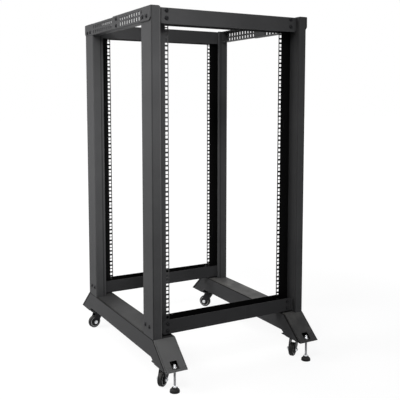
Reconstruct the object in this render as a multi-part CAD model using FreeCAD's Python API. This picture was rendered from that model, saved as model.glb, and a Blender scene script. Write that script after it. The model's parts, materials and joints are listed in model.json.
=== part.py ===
"""Four post open frame rack, 22 rack units high, on swivel casters.

Frame: +Z up, -Y is the front, +X is the right side seen from the front.
The origin is on the floor, midway between the four posts.
All sizes are in millimetres.
"""

import FreeCAD
import Part
import math
import os

from FreeCAD import Vector

# ---------------------------------------------------------------- overall sizes
RACK_UNIT = 44.45
RACK_UNITS = 22
RACK_WIDTH = 620.0          # over the outer faces of the posts
RACK_DEPTH = 630.0          # from the front face of the front posts to the rear face of the rear ones
FOOT_TOP = 155.0            # floor to the top of the base channels
SHEET = 2.0                 # folded steel of posts, beams and rails
BEND = 1.5                  # inside radius of a fold
SLIP = 0.5                  # play between a piece and the space that it stands in

# ---------------------------------------------------------------- posts
HOLE_LINES = 465.1          # between the square hole lines of a 19 inch rack
HOLE_SIZE = 9.5
HOLE_EDGE = 7.55            # hole line to the free edge of the mounting flange
HOLE_OFFSETS = (6.35, 22.225, 38.1)   # hole centres above the lower line of each unit
POST_FACE = 33.0            # width of the raised outer face
POST_STEP = 50.0            # setback of the mounting flange behind that face
POST_SIDE = 82.0            # width of the post's side
POST_BACK = 44.0            # width of the wall that faces the inside of the rack
POST_LIP = 8.0              # stiffening lip at the end of that wall

# ---------------------------------------------------------------- cross beams
TOP_BEAM_HEIGHT = 52.0
BOTTOM_BEAM_HEIGHT = 50.0
BEAM_DEPTH = 58.0
BEAM_SETBACK = 12.0         # face of the posts to the face of a beam
BEAM_LIFT = 6.0             # base channel to a bottom beam
BEAM_DROP = 1.0             # top of the posts to a top beam
BEAM_END = 8.0              # side of the raised face to the end of a beam
BEAM_TAB_WIDTH = 42.0       # tab on a post that the end of a beam is bolted to
BEAM_TAB_EDGE = 6.0         # rim and floor of a beam to that tab
BOTTOM_MARGIN = 1.0         # bottom beam to the lowest rack unit line
TOP_MARGIN = 8.0            # highest rack unit line to the top beam

# ---------------------------------------------------------------- top side rails
RAIL_HEIGHT = 49.0
RAIL_FLANGE = 32.0
FRONT_RAIL_PAST = 8.0       # how far the front half of a rail runs past the middle
REAR_RAIL_PAST = 50.0       # how far the rear half runs past the middle, inside the front one
SLOT_WIDTH = 8.0
SLOT_HEIGHT = 12.0
SLOT_PITCH = 20.5
SLOT_ROWS = (16.0, 35.0)    # slot rows below the top of the rail
SLOT_COUNT = 10
FRONT_SLOT_START = 68.0     # end of the front half to its first slot
REAR_SLOT_START = 100.0     # end of the rear half to its first slot
RAIL_CHAMFER = 12.0

# ---------------------------------------------------------------- base channels
FOOT_WIDTH = 80.0
FOOT_SHEET = 2.5
FOOT_HEIGHT = 64.0
TOE_REACH = 95.0            # how far a toe runs out beyond the posts
TOE_HEIGHT = 81.0           # top of the base channel to the lower edge of a toe
TOE_STEP_OUT = 6.0          # lower end of the step in the lower edge, outside the post's face
TOE_STEP_IN = 21.0          # upper end of that step, inside the post's face
ACCESS_WIDTH = 26.0
ACCESS_LENGTH = 31.0
ACCESS_EDGE = 9.0           # opening to the toe's lower edge, along the slope
SEAM_GAP = 1.2              # open seam between a toe's sloping plate and its side plates
TAB_HEIGHT = 60.0           # upright tab inside the foot of each post
TAB_WIDTH = 52.0
TAB_SETBACK = 15.0          # face of the post to the tab

# ---------------------------------------------------------------- toe plates, levelling feet
TOE_PLATE = 3.0
TOE_PLATE_EDGE = 8.0        # tip of the toe to the plate
TOE_PLATE_LENGTH = 110.0
LEVELLER_EDGE = 18.0        # tip of the toe to the levelling foot's axis
STUD_RADIUS = 4.0
STUD_CLEARANCE = 0.25
STUD_TOP = 16.0             # above the toe plate
NUT_WIDTH = 13.0
NUT_HEIGHT = 6.5
PAD_RADIUS = 17.0
PAD_NECK_RADIUS = 9.0
PAD_HEIGHT = 15.0
PAD_SOCKET = 9.0

# ---------------------------------------------------------------- casters
CASTER_OUT = 7.0            # swivel axis beyond the face of the posts
PLATE_SIZE = 56.0
PLATE_THICK = 3.0
PLATE_CORNER = 6.0
WHEEL_RADIUS = 25.0
WHEEL_WIDTH = 19.0
TREAD_DEPTH = 5.0
TREAD_CROWN = 3.0
TRAIL = 20.0                # wheel axle behind the swivel axis
AXLE_RADIUS = 4.0
AXLE_FIT = 0.05
AXLE_HEAD = 7.0
AXLE_HEAD_THICK = 2.5
FORK_SHEET = 2.5
FORK_GAP = 1.5              # side of the wheel to the fork
FORK_EAR = 11.0             # radius of the fork around the axle
KING_RADIUS = 6.0
KING_FIT = 0.05
RACE_RADIUS = 20.0
RACE_TAPER = 4.0
RACE_HEIGHT = 9.0
RACE_GAP = 0.5
CROWN_RADIUS = 18.0         # round top of a fork
KING_HEAD_RADIUS = 9.0
KING_HEAD_THICK = 2.5
HUB_RADIUS = 9.0
# heading of each wheel at rest, in degrees from straight back
HEADINGS = {"front_left": 126.0, "front_right": 124.0, "rear_left": 99.0, "rear_right": 37.0}

# ---------------------------------------------------------------- derived sizes
SIDE_X = RACK_WIDTH / 2
FACE_Y = RACK_DEPTH / 2
HOLE_X = SIDE_X - HOLE_LINES / 2          # hole line from the post's side
FLANGE_X = HOLE_X + HOLE_EDGE             # free edge of the mounting flange
BEAM_BOTTOM = FOOT_TOP + BEAM_LIFT
UNITS_BOTTOM = BEAM_BOTTOM + BOTTOM_BEAM_HEIGHT + BOTTOM_MARGIN
UNITS_TOP = UNITS_BOTTOM + RACK_UNITS * RACK_UNIT
TOP_BEAM_BOTTOM = UNITS_TOP + TOP_MARGIN
POST_TOP = TOP_BEAM_BOTTOM + TOP_BEAM_HEIGHT + BEAM_DROP
RAIL_TOP = POST_TOP + SHEET
TOE_LEVEL = FOOT_TOP - TOE_HEIGHT
FOOT_X = SIDE_X - FOOT_WIDTH / 2
LEVELLER_OUT = TOE_REACH - LEVELLER_EDGE   # face of the posts to the levelling foot's axis
CASTER_TOP = TOE_LEVEL
FORK_TOP = CASTER_TOP - PLATE_THICK - RACE_HEIGHT
FORK_INSIDE = WHEEL_WIDTH / 2 + FORK_GAP
CORNERS = {
    "front_left": (-1, -1),
    "front_right": (1, -1),
    "rear_left": (-1, 1),
    "rear_right": (1, 1),
}
SIDES = {"left": -1, "right": 1}
ENDS = {"front": -1, "rear": 1}


# ---------------------------------------------------------------- helpers
def box(low, high):
    """A box between two corners."""
    size = [b - a for a, b in zip(low, high)]
    return Part.makeBox(*size, Vector(*low))


def cylinder(radius, length, base, axis=(0, 0, 1)):
    """A cylinder from base along axis."""
    return Part.makeCylinder(radius, length, Vector(*base), Vector(*axis))


def rounded_wire(points, radii):
    """A closed wire through the corner points, each corner rounded by its radius."""
    edges = []
    count = len(points)
    starts = []
    ends = []
    middles = []
    for i, (corner, radius) in enumerate(zip(points, radii)):
        before = points[i - 1] - corner
        after = points[(i + 1) % count] - corner
        before.normalize()
        after.normalize()
        if radius <= 0:
            starts.append(corner)
            ends.append(corner)
            middles.append(None)
            continue
        half = before.getAngle(after) / 2
        reach = radius / math.tan(half)
        bisector = before + after
        bisector.normalize()
        starts.append(corner + before * reach)
        ends.append(corner + after * reach)
        middles.append(corner + bisector * (radius / math.sin(half) - radius))
    for i in range(count):
        if middles[i] is not None:
            edges.append(Part.Arc(starts[i], middles[i], ends[i]).toShape())
        leave = ends[i]
        arrive = starts[(i + 1) % count]
        if leave.distanceToPoint(arrive) > 1e-6:
            edges.append(Part.LineSegment(leave, arrive).toShape())
    return Part.Wire(edges)


def folded_sheet(path, thickness, bend):
    """The outline face of a sheet folded along a path of (u, v) points in the XY plane.

    The sheet lies on the left of the path, so the path is the sheet's right-hand skin.
    """
    points = [Vector(u, v, 0) for u, v in path]
    count = len(points)
    normals = []
    for i in range(count - 1):
        along = points[i + 1] - points[i]
        along.normalize()
        normals.append(Vector(-along.y, along.x, 0))
    offset = [points[0] + normals[0] * thickness]
    right_radii = [0.0]
    left_radii = [0.0]
    for i in range(1, count - 1):
        offset.append(points[i] + (normals[i - 1] + normals[i]) * thickness)
        turns_left = normals[i - 1].cross(normals[i]).z > 0
        right_radii.append(bend + thickness if turns_left else bend)
        left_radii.append(bend if turns_left else bend + thickness)
    offset.append(points[-1] + normals[-1] * thickness)
    right_radii.append(0.0)
    left_radii.append(0.0)
    corners = points + offset[::-1]
    return Part.Face(rounded_wire(corners, right_radii + left_radii[::-1]))


def prism(points, direction):
    """A prism on a polygon of 3-D points."""
    wire = Part.makePolygon([Vector(*p) for p in points + points[:1]])
    return Part.Face(wire).extrude(Vector(*direction))


def mirrored(shape, side, end):
    """A piece made at the front left corner, moved to the corner given by the two signs."""
    result = shape
    if side > 0:
        result = result.mirror(Vector(0, 0, 0), Vector(1, 0, 0))
    if end > 0:
        result = result.mirror(Vector(0, 0, 0), Vector(0, 1, 0))
    return result


# ---------------------------------------------------------------- posts
def post_profile():
    """The folded section of the front left post, as (X, Y) points of its outer skin."""
    left = -SIDE_X
    face = -FACE_Y
    step = face + POST_STEP
    back = face + POST_SIDE
    return [
        (left + POST_BACK, back - POST_LIP),
        (left + POST_BACK, back),
        (left, back),
        (left, face),
        (left + POST_FACE, face),
        (left + POST_FACE, step),
        (left + FLANGE_X, step),
    ]


def hole_heights():
    """The height of every square hole. One more hole at each end is half behind a beam."""
    heights = [UNITS_BOTTOM - HOLE_OFFSETS[0]]
    for unit in range(RACK_UNITS):
        for offset in HOLE_OFFSETS:
            heights.append(UNITS_BOTTOM + unit * RACK_UNIT + offset)
    heights.append(UNITS_TOP + HOLE_OFFSETS[0])
    return heights


def square_holes(x, y):
    """Cutters for one line of square holes, through a flange at y."""
    half = HOLE_SIZE / 2
    cutters = []
    for z in hole_heights():
        cutters.append(box((x - half, y - SHEET, z - half), (x + half, y + 2 * SHEET, z + half)))
    return Part.makeCompound(cutters)


def flange_cut(bottom, top):
    """Cutter for a stretch of the mounting flange, from its fold to its free edge."""
    step = -FACE_Y + POST_STEP
    low = (-SIDE_X + POST_FACE + BEND, step - SHEET, bottom)
    high = (-SIDE_X + FLANGE_X + SHEET, step + 2 * SHEET, top)
    return box(low, high)


def beam_tab(bottom, height):
    """The tab in the step of a post that lies behind the end of a beam."""
    wall = -SIDE_X + POST_FACE
    near = -FACE_Y + BEAM_SETBACK + SHEET
    low = (wall - SHEET / 2, near, bottom + BEAM_TAB_EDGE)
    high = (wall + BEAM_TAB_WIDTH, near + SHEET, bottom + height - BEAM_TAB_EDGE)
    return box(low, high)


def front_left_post():
    """A post with its line of square holes, its flange standing inside the two beams."""
    face = folded_sheet(post_profile(), SHEET, BEND)
    face.translate(Vector(0, 0, FOOT_TOP))
    post = face.extrude(Vector(0, 0, POST_TOP - FOOT_TOP))
    flange_bottom = BEAM_BOTTOM + SHEET + SLIP
    flange_top = TOP_BEAM_BOTTOM + TOP_BEAM_HEIGHT - SHEET - SLIP
    post = post.cut([flange_cut(FOOT_TOP, flange_bottom), flange_cut(flange_top, POST_TOP)])
    tabs = [beam_tab(BEAM_BOTTOM, BOTTOM_BEAM_HEIGHT), beam_tab(TOP_BEAM_BOTTOM, TOP_BEAM_HEIGHT)]
    post = post.fuse(tabs).removeSplitter()
    return post.cut(square_holes(-SIDE_X + HOLE_X, -FACE_Y + POST_STEP))


# ---------------------------------------------------------------- cross beams
def front_beam(bottom, height, opens_up):
    """A channel between the raised faces of two posts, around the ends of their flanges."""
    half = SIDE_X - POST_FACE - BEAM_END
    near = -FACE_Y + BEAM_SETBACK
    far = near + BEAM_DEPTH
    top = bottom + height
    rim, floor = (top, bottom) if opens_up else (bottom, top)
    path = [(near, rim), (near, floor), (far, floor), (far, rim)]
    if not opens_up:
        path = path[::-1]
    face = folded_sheet(path, SHEET, BEND)
    # the section is drawn in XY and stood up into YZ
    face.rotate(Vector(0, 0, 0), Vector(1, 1, 1), 120)
    face.translate(Vector(-half, 0, 0))
    return face.extrude(Vector(2 * half, 0, 0))


# ---------------------------------------------------------------- top side rails
def rail_half(inset, length, slot_start):
    """Half of the left top rail, from the front end, inset from its outermost skin."""
    outer = -SIDE_X - 2 * SHEET + inset
    top = RAIL_TOP
    bottom = RAIL_TOP - RAIL_HEIGHT
    inner = outer + RAIL_FLANGE
    low = bottom + inset
    high = top - inset
    path = [(inner, high), (outer, high), (outer, low), (inner, low)]
    face = folded_sheet(path, SHEET, BEND)
    # the section is drawn in XY and stood up into XZ
    face.rotate(Vector(0, 0, 0), Vector(1, 0, 0), 90)
    face.translate(Vector(0, -FACE_Y, 0))
    rail = face.extrude(Vector(0, length, 0))
    return rail.cut(rail_slots(outer, -FACE_Y + slot_start))


def rail_slots(outer, start):
    """Cutters for the two rows of upright slots in a rail."""
    cutters = []
    for i in range(SLOT_COUNT):
        y = start + i * SLOT_PITCH
        for row in SLOT_ROWS:
            z = RAIL_TOP - row
            low = (outer - SHEET, y - SLOT_WIDTH / 2, z - SLOT_HEIGHT / 2)
            high = (outer + 2 * SHEET, y + SLOT_WIDTH / 2, z + SLOT_HEIGHT / 2)
            cutters.append(box(low, high))
    return Part.makeCompound(cutters)


def post_relief():
    """The room that a rail leaves for the post at its end."""
    low = (-SIDE_X, -FACE_Y - SHEET, RAIL_TOP - RAIL_HEIGHT - SHEET)
    high = (0, -FACE_Y + POST_SIDE + SLIP, POST_TOP)
    return box(low, high)


def end_chamfer():
    """The cut corner at the lower end of a rail."""
    y = -FACE_Y
    z = RAIL_TOP - RAIL_HEIGHT
    x = -SIDE_X - 3 * SHEET
    corner = [(x, y, z), (x, y + RAIL_CHAMFER, z), (x, y, z + RAIL_CHAMFER)]
    return prism(corner, (RAIL_FLANGE + SHEET, 0, 0))


def packing_plate():
    """The plate that fills the gap between the outer half of a rail and its post."""
    low = (-SIDE_X - SHEET, -FACE_Y, RAIL_TOP - RAIL_HEIGHT + RAIL_CHAMFER)
    high = (-SIDE_X, -FACE_Y + POST_SIDE - RAIL_CHAMFER, POST_TOP)
    return box(low, high)


def front_rail():
    """The outer half of the left top rail, at the front."""
    rail = rail_half(0.0, FACE_Y + FRONT_RAIL_PAST, FRONT_SLOT_START)
    rail = rail.cut(post_relief()).cut(end_chamfer())
    return rail.fuse(packing_plate()).removeSplitter()


def rear_rail():
    """The inner half of the left top rail, which lies inside the front one."""
    rail = rail_half(SHEET, FACE_Y + REAR_RAIL_PAST, REAR_SLOT_START)
    return rail.cut(post_relief()).cut(end_chamfer())


# ---------------------------------------------------------------- base channels
def toe_outline(end):
    """Half of the side plate's outline, from mid length to the toe, as (Y, Z) points."""
    lower = FOOT_TOP - FOOT_HEIGHT
    return [
        (end * (FACE_Y - TOE_STEP_IN), lower),
        (end * (FACE_Y + TOE_STEP_OUT), TOE_LEVEL),
        (end * (FACE_Y + TOE_REACH), TOE_LEVEL),
        (end * FACE_Y, FOOT_TOP),
    ]


def foot_body(grow):
    """The solid outline of a base channel, shrunk by grow on every outer skin."""
    profile = toe_outline(-1) + toe_outline(1)[::-1]
    inner = -SIDE_X + FOOT_WIDTH - grow
    outer = -SIDE_X + grow
    points = [(outer, y, z) for y, z in profile]
    return prism(points, (inner - outer, 0, 0))


def foot_cavity():
    """The hollow under the top and the two sloping ends of a base channel."""
    slope = math.hypot(TOE_REACH, TOE_HEIGHT)
    drop = FOOT_SHEET * slope / TOE_REACH
    run = FOOT_SHEET * slope / TOE_HEIGHT
    top = FOOT_TOP - FOOT_SHEET
    flat = FACE_Y + FOOT_SHEET * TOE_REACH / TOE_HEIGHT - run
    deep = TOE_LEVEL - FOOT_SHEET
    tip = flat + (top - deep) * TOE_REACH / TOE_HEIGHT
    profile = [(-tip, deep), (tip, deep), (flat, top), (-flat, top)]
    outer = -SIDE_X + FOOT_SHEET
    width = FOOT_WIDTH - 2 * FOOT_SHEET
    return prism([(outer, y, z) for y, z in profile], (width, 0, 0))


def access_opening(end):
    """Cutter for the opening in a sloping end, above the levelling foot."""
    slope = math.hypot(TOE_REACH, TOE_HEIGHT)
    up = Vector(0, -end * TOE_REACH / slope, TOE_HEIGHT / slope)
    out = Vector(0, end * TOE_HEIGHT / slope, TOE_REACH / slope)
    across = Vector(ACCESS_WIDTH, 0, 0)
    start = Vector(-FOOT_X - ACCESS_WIDTH / 2, end * (FACE_Y + TOE_REACH), TOE_LEVEL)
    start = start + up * ACCESS_EDGE - out * 2 * FOOT_SHEET
    along = up * ACCESS_LENGTH
    corners = [start, start + across, start + across + along, start + along]
    return prism([tuple(c) for c in corners], tuple(out * 4 * FOOT_SHEET))


def toe_seams(end):
    """Cutters for the open seams along the two sides of a sloping end."""
    tip = end * (FACE_Y + TOE_REACH + FOOT_SHEET)
    low = TOE_LEVEL - FOOT_SHEET
    high = FOOT_TOP - 2 * FOOT_SHEET
    run = (high - TOE_LEVEL) * TOE_REACH / TOE_HEIGHT
    top = end * (FACE_Y + TOE_REACH - run)
    rise = 4 * FOOT_SHEET
    cutters = []
    for x in (-SIDE_X + FOOT_SHEET, -SIDE_X + FOOT_WIDTH - FOOT_SHEET - SEAM_GAP):
        outline = [(x, top, high - rise), (x, tip, low - rise), (x, tip, low + rise), (x, top, high + rise)]
        cutters.append(prism(outline, (SEAM_GAP, 0, 0)))
    return cutters


def post_tab(end):
    """The upright tab that the foot of a post is bolted to."""
    near = end * (FACE_Y - TAB_SETBACK)
    far = near - end * TAB_WIDTH
    x = -SIDE_X + SHEET
    low = (x, min(near, far), FOOT_TOP - FOOT_SHEET / 2)
    high = (x + FOOT_SHEET, max(near, far), FOOT_TOP + TAB_HEIGHT)
    return box(low, high)


def left_foot():
    """A base channel with sloping toes at both ends."""
    foot = foot_body(0.0).cut(foot_cavity())
    foot = foot.cut([access_opening(-1), access_opening(1)])
    foot = foot.cut(toe_seams(-1) + toe_seams(1))
    return foot.fuse(post_tab(-1)).fuse(post_tab(1)).removeSplitter()


# ---------------------------------------------------------------- toe plates and levelling feet
def toe_plate(side, end):
    """The flat plate in a toe that carries the caster and the levelling foot."""
    tip = end * (FACE_Y + TOE_REACH - TOE_PLATE_EDGE)
    inner = tip - end * TOE_PLATE_LENGTH
    half = FOOT_WIDTH / 2 - FOOT_SHEET
    x = side * FOOT_X
    low = (x - half, min(tip, inner), CASTER_TOP)
    high = (x + half, max(tip, inner), CASTER_TOP + TOE_PLATE)
    plate = box(low, high)
    if end < 0:
        bore = STUD_RADIUS + STUD_CLEARANCE
        hole = cylinder(bore, 3 * TOE_PLATE, (x, -FACE_Y - LEVELLER_OUT, CASTER_TOP - TOE_PLATE))
        plate = plate.cut(hole)
    return plate


def leveller_stud(side):
    """The threaded stud of a levelling foot."""
    base = (side * FOOT_X, -FACE_Y - LEVELLER_OUT, PAD_HEIGHT - PAD_SOCKET)
    length = CASTER_TOP + TOE_PLATE + STUD_TOP - base[2]
    return cylinder(STUD_RADIUS, length, base)


def hexagon(width, height, centre):
    """A hexagonal prism, flat to flat width, standing on centre."""
    radius = width / math.sqrt(3)
    x, y, z = centre
    points = []
    for i in range(6):
        angle = math.radians(60 * i)
        points.append((x + radius * math.cos(angle), y + radius * math.sin(angle), z))
    return prism(points, (0, 0, height))


def leveller_nuts(side):
    """The two nuts that clamp a stud to its toe plate, and the one on its pad."""
    x = side * FOOT_X
    y = -FACE_Y - LEVELLER_OUT
    upper = hexagon(NUT_WIDTH, NUT_HEIGHT, (x, y, CASTER_TOP + TOE_PLATE))
    lower = hexagon(NUT_WIDTH, NUT_HEIGHT, (x, y, CASTER_TOP - NUT_HEIGHT))
    pad = hexagon(NUT_WIDTH, NUT_HEIGHT, (x, y, PAD_HEIGHT))
    bore = cylinder(STUD_RADIUS, CASTER_TOP + 4 * NUT_HEIGHT, (x, y, 0))
    return Part.makeCompound([upper.cut(bore), lower.cut(bore), pad.cut(bore)])


def leveller_pad(side):
    """The rubber foot at the lower end of a stud."""
    x = side * FOOT_X
    y = -FACE_Y - LEVELLER_OUT
    shoulder = PAD_HEIGHT * 0.45
    outline = [
        (0, 0), (PAD_RADIUS, 0), (PAD_RADIUS, shoulder),
        (PAD_NECK_RADIUS, PAD_HEIGHT), (0, PAD_HEIGHT),
    ]
    wire = Part.makePolygon([Vector(x + r, y, z) for r, z in outline + outline[:1]])
    pad = Part.Face(wire).revolve(Vector(x, y, 0), Vector(0, 0, 1), 360)
    socket = cylinder(STUD_RADIUS, PAD_SOCKET, (x, y, PAD_HEIGHT - PAD_SOCKET))
    return pad.cut(socket)


# ---------------------------------------------------------------- casters
def caster_axis(name):
    """The swivel axis of a caster, as (x, y)."""
    side, end = CORNERS[name]
    return side * FOOT_X, end * (FACE_Y + CASTER_OUT)


def placed(shape, name, turned):
    """A caster piece made around the origin, moved to its swivel axis."""
    x, y = caster_axis(name)
    result = shape.copy()
    if turned:
        result.rotate(Vector(0, 0, 0), Vector(0, 0, 1), HEADINGS[name])
    result.translate(Vector(x, y, 0))
    return result


def caster_plate():
    """The fixed top plate with its bearing race and king pin."""
    half = PLATE_SIZE / 2
    corners = [Vector(a * half, b * half, CASTER_TOP - PLATE_THICK)
               for a, b in ((-1, -1), (1, -1), (1, 1), (-1, 1))]
    plate = Part.Face(rounded_wire(corners, [PLATE_CORNER] * 4)).extrude(Vector(0, 0, PLATE_THICK))
    race_height = RACE_HEIGHT - RACE_GAP
    race = Part.makeCone(RACE_RADIUS - RACE_TAPER, RACE_RADIUS, race_height,
                         Vector(0, 0, CASTER_TOP - PLATE_THICK - race_height), Vector(0, 0, 1))
    pin_low = FORK_TOP - FORK_SHEET - RACE_GAP
    pin = cylinder(KING_RADIUS, CASTER_TOP - PLATE_THICK - pin_low, (0, 0, pin_low))
    head = cylinder(KING_HEAD_RADIUS, KING_HEAD_THICK, (0, 0, pin_low - KING_HEAD_THICK))
    return plate.fuse([race, pin, head]).removeSplitter()


def fork_ear(side):
    """One side of the fork: a cheek that tapers from the crown to the axle."""
    x = FORK_INSIDE if side > 0 else -FORK_INSIDE - FORK_SHEET
    eye = Vector(x, TRAIL, WHEEL_RADIUS)
    front = Vector(x, -CROWN_RADIUS, FORK_TOP)
    back = Vector(x, CROWN_RADIUS, FORK_TOP)
    lower_front = tangent_point(front, eye, FORK_EAR, -1)
    lower_back = tangent_point(back, eye, FORK_EAR, 1)
    bottom = Vector(x, TRAIL, WHEEL_RADIUS - FORK_EAR)
    edges = [
        Part.LineSegment(front, lower_front).toShape(),
        Part.Arc(lower_front, bottom, lower_back).toShape(),
        Part.LineSegment(lower_back, back).toShape(),
        Part.LineSegment(back, front).toShape(),
    ]
    return Part.Face(Part.Wire(edges)).extrude(Vector(FORK_SHEET, 0, 0))


def tangent_point(start, centre, radius, side):
    """The point where a line from start touches a circle in the plane of constant X."""
    away = start - centre
    distance = away.Length
    turn = math.degrees(math.acos(radius / distance))
    spoke = away * (radius / distance)
    rotated = FreeCAD.Rotation(Vector(1, 0, 0), -side * turn).multVec(spoke)
    return centre + rotated


def caster_fork():
    """The swivelling fork, bored for the king pin and for the axle."""
    crown = cylinder(CROWN_RADIUS, FORK_SHEET, (0, 0, FORK_TOP - FORK_SHEET))
    half = FORK_INSIDE + FORK_SHEET
    bridge = box((-half, -CROWN_RADIUS, FORK_TOP - FORK_SHEET), (half, CROWN_RADIUS, FORK_TOP))
    fork = crown.fuse([bridge, fork_ear(-1), fork_ear(1)]).removeSplitter()
    king = cylinder(KING_RADIUS + KING_FIT, 4 * FORK_SHEET, (0, 0, FORK_TOP - 3 * FORK_SHEET))
    axle = cylinder(AXLE_RADIUS, 4 * half, (-2 * half, TRAIL, WHEEL_RADIUS), (1, 0, 0))
    return fork.cut(king).cut(axle)


def caster_axle():
    """The axle with a head at each end."""
    half = FORK_INSIDE + FORK_SHEET
    shaft = cylinder(AXLE_RADIUS, 2 * half, (-half, TRAIL, WHEEL_RADIUS), (1, 0, 0))
    heads = []
    for x in (-half - AXLE_HEAD_THICK, half):
        heads.append(cylinder(AXLE_HEAD, AXLE_HEAD_THICK, (x, TRAIL, WHEEL_RADIUS), (1, 0, 0)))
    return shaft.fuse(heads).removeSplitter()


def revolved(outline):
    """A ring about the axle from (radius, x) points."""
    points = [Vector(x, TRAIL, WHEEL_RADIUS + r) for r, x in outline]
    wire = Part.makePolygon(points + points[:1])
    return Part.Face(wire).revolve(Vector(0, TRAIL, WHEEL_RADIUS), Vector(1, 0, 0), 360)


def wheel_core():
    """The plastic wheel: hub, web and rim."""
    rim = WHEEL_RADIUS - TREAD_DEPTH
    wide = WHEEL_WIDTH / 2
    web = wide * 0.45
    bore = AXLE_RADIUS + AXLE_FIT
    return revolved([
        (bore, -wide), (HUB_RADIUS, -wide), (HUB_RADIUS, -web), (rim - 3, -web), (rim - 3, -wide + 1),
        (rim, -wide + 1), (rim, wide - 1), (rim - 3, wide - 1), (rim - 3, web), (HUB_RADIUS, web),
        (HUB_RADIUS, wide), (bore, wide),
    ])


def wheel_tyre():
    """The tread on the rim, with rounded shoulders."""
    rim = WHEEL_RADIUS - TREAD_DEPTH
    wide = WHEEL_WIDTH / 2 - 1
    flat = wide - TREAD_CROWN
    edge = WHEEL_RADIUS - TREAD_CROWN
    return revolved([
        (rim, -wide), (edge, -wide), (WHEEL_RADIUS, -flat), (WHEEL_RADIUS, flat), (edge, wide), (rim, wide),
    ])


# ---------------------------------------------------------------- the whole rack
def build():
    """Every piece by its node name."""
    nodes = {}
    post = front_left_post()
    for name, (side, end) in CORNERS.items():
        nodes["post_" + name] = mirrored(post, side, end)
        nodes["toe_plate_" + name] = toe_plate(side, end)
    for name, end in ENDS.items():
        lower = front_beam(BEAM_BOTTOM, BOTTOM_BEAM_HEIGHT, True)
        upper = front_beam(TOP_BEAM_BOTTOM, TOP_BEAM_HEIGHT, False)
        nodes["beam_bottom_" + name] = mirrored(lower, -1, end)
        nodes["beam_top_" + name] = mirrored(upper, -1, end)
    for name, side in SIDES.items():
        nodes["base_channel_" + name] = mirrored(left_foot(), side, -1)
        nodes["top_rail_" + name + "_front"] = mirrored(front_rail(), side, -1)
        nodes["top_rail_" + name + "_rear"] = mirrored(rear_rail(), side, 1)
        nodes["leveller_stud_" + name] = leveller_stud(side)
        nodes["leveller_nuts_" + name] = leveller_nuts(side)
        nodes["leveller_pad_" + name] = leveller_pad(side)
    for name in CORNERS:
        nodes["caster_plate_" + name] = placed(caster_plate(), name, False)
        nodes["caster_fork_" + name] = placed(caster_fork(), name, True)
        nodes["caster_axle_" + name] = placed(caster_axle(), name, True)
        nodes["caster_wheel_" + name] = placed(wheel_core(), name, True)
        nodes["caster_tyre_" + name] = placed(wheel_tyre(), name, True)
    return nodes


os.makedirs("parts", exist_ok=True)
for node, shape in build().items():
    shape.exportStep("parts/" + node + ".step")
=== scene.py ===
# %% [markdown]
# # A four post open frame rack
# The steel frame is already there as solids: posts, beams, rails, base channels and casters.
# This lesson dresses it. It adds the fasteners, the threads and the wheel details, and gives
# every surface a finish made of nodes. Each step says what the piece is, how it could be made,
# and why this way was chosen. All sizes are in metres.

# %% Load the frame
import bpy
import bmesh
import json
import math
from mathutils import Matrix, Vector


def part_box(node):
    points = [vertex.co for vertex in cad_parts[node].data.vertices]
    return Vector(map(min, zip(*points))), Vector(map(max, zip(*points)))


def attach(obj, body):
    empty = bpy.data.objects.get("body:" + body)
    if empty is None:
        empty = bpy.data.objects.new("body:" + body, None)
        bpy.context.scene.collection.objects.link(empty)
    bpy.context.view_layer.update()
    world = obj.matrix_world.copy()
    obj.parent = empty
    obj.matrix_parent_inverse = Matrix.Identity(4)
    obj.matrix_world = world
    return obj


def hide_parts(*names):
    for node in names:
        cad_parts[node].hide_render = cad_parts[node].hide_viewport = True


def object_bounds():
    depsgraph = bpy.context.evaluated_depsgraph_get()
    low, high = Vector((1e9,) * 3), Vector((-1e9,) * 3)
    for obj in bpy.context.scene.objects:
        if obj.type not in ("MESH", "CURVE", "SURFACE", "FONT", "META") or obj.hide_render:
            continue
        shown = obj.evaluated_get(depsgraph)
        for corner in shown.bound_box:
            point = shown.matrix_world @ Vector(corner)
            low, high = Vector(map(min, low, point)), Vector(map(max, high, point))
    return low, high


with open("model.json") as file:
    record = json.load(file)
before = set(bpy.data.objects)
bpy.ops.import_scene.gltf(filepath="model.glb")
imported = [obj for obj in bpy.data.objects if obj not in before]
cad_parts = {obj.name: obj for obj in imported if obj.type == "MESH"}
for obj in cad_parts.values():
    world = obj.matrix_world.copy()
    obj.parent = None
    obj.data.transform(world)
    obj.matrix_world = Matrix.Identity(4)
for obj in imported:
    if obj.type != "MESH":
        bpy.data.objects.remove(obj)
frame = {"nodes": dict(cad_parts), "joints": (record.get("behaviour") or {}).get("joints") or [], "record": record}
cad_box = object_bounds()
record = frame["record"]

# %% [markdown]
# ## The camera and the studio
# A tall object looks calm when its uprights stay nearly parallel. A view camera does that by
# moving the lens down instead of tilting the whole camera, which Blender calls shift. Here the
# camera tilts a little and shifts a little. Its place is measured from the middle of the floor
# under the rack.

# %% Camera
LENS = 57.8
LENS_SHIFT = -0.097
CAMERA_PLACE = (-1.183, -2.202, 0.9425)
CAMERA_TILT = math.radians(84.8)
CAMERA_TURN = math.radians(-29.1)

low, high = cad_box
camera_data = bpy.data.cameras.new("camera")
camera = bpy.data.objects.new("camera", camera_data)
bpy.context.scene.collection.objects.link(camera)
camera_data.lens = LENS
camera_data.shift_y = LENS_SHIFT
camera.location = Vector(CAMERA_PLACE) + Vector((0, 0, low.z))
camera.rotation_euler = (CAMERA_TILT, 0, CAMERA_TURN)
bpy.context.scene.camera = camera
bpy.context.scene.view_settings.view_transform = "Standard"
print("camera stands", round((camera.location - (low + high) / 2).length, 2), "m from the middle")

# %% [markdown]
# The studio is a white floor and a white world. A lamp bright enough to whiten the floor would
# also bleach the rack, so the floor and the world are made white only for the rays that come
# from the camera, from glossy surfaces or through glass. What lights the rack stays at a plain
# level. Two small helpers add the nodes that count, and they serve the finishes later as well.

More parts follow.
